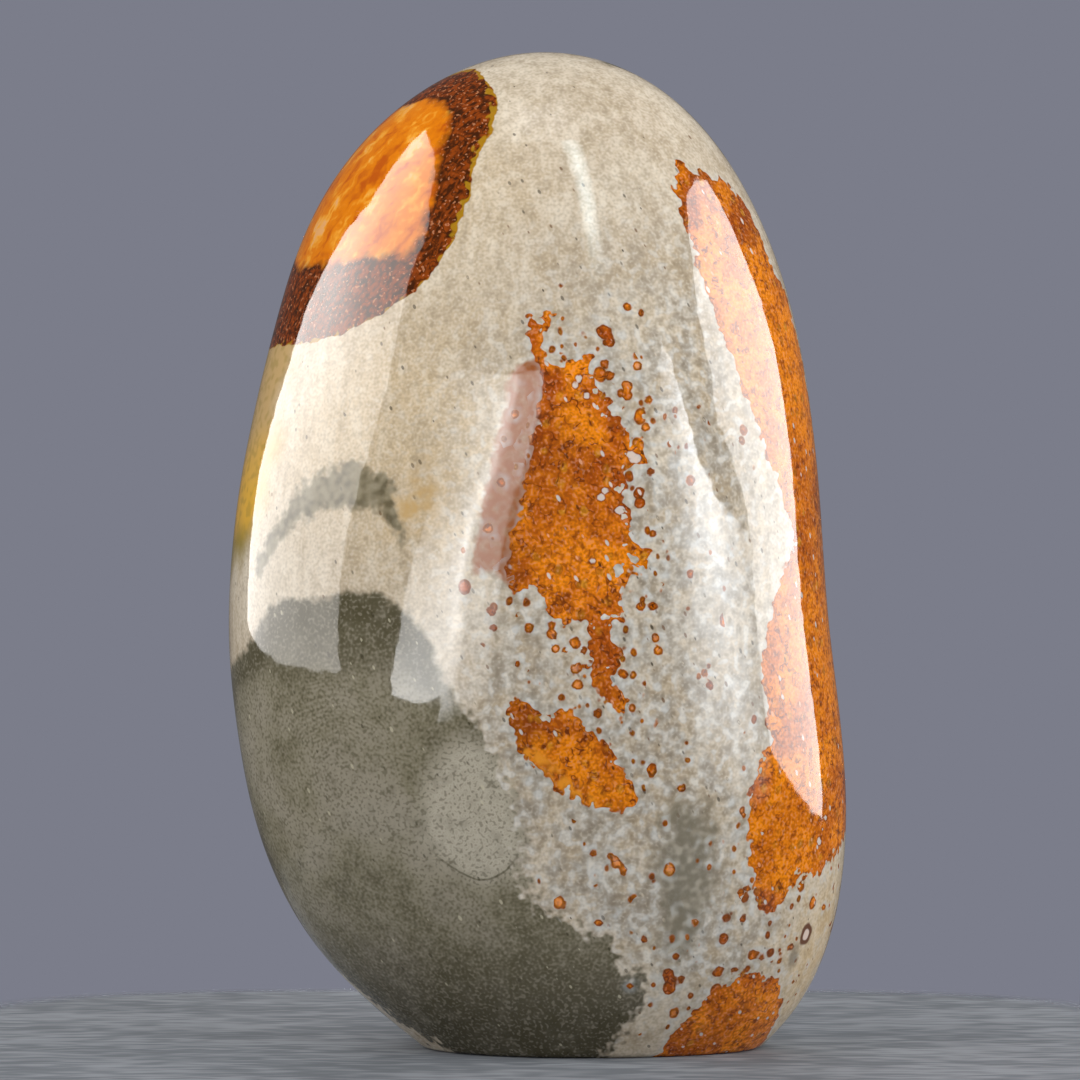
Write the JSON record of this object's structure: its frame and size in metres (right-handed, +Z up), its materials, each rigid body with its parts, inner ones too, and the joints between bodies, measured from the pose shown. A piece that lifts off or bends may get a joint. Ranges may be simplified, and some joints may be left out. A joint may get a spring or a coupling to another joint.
{
  "type": "polished freeform stone",
  "caption": "Tall rounded freeform of polychrome jasper, polished all over, standing upright on a small flat foot, its lower right side fuller than its upper.",
  "frame": {"origin": "on the floor, under the middle of the stone's box", "axes": "+Z up along the stone's length; the broad show face looks along -Y; +X to the right of the show face"},
  "size_m": [0.1236, 0.0882, 0.1998],
  "materials": {
    "jasper": "high polish; cream to grey silica with orange, red-brown and olive-grey patches"
  },
  "bodies": {
    "root": {"jasper_stone": "jasper"}
  },
  "joints": []
}
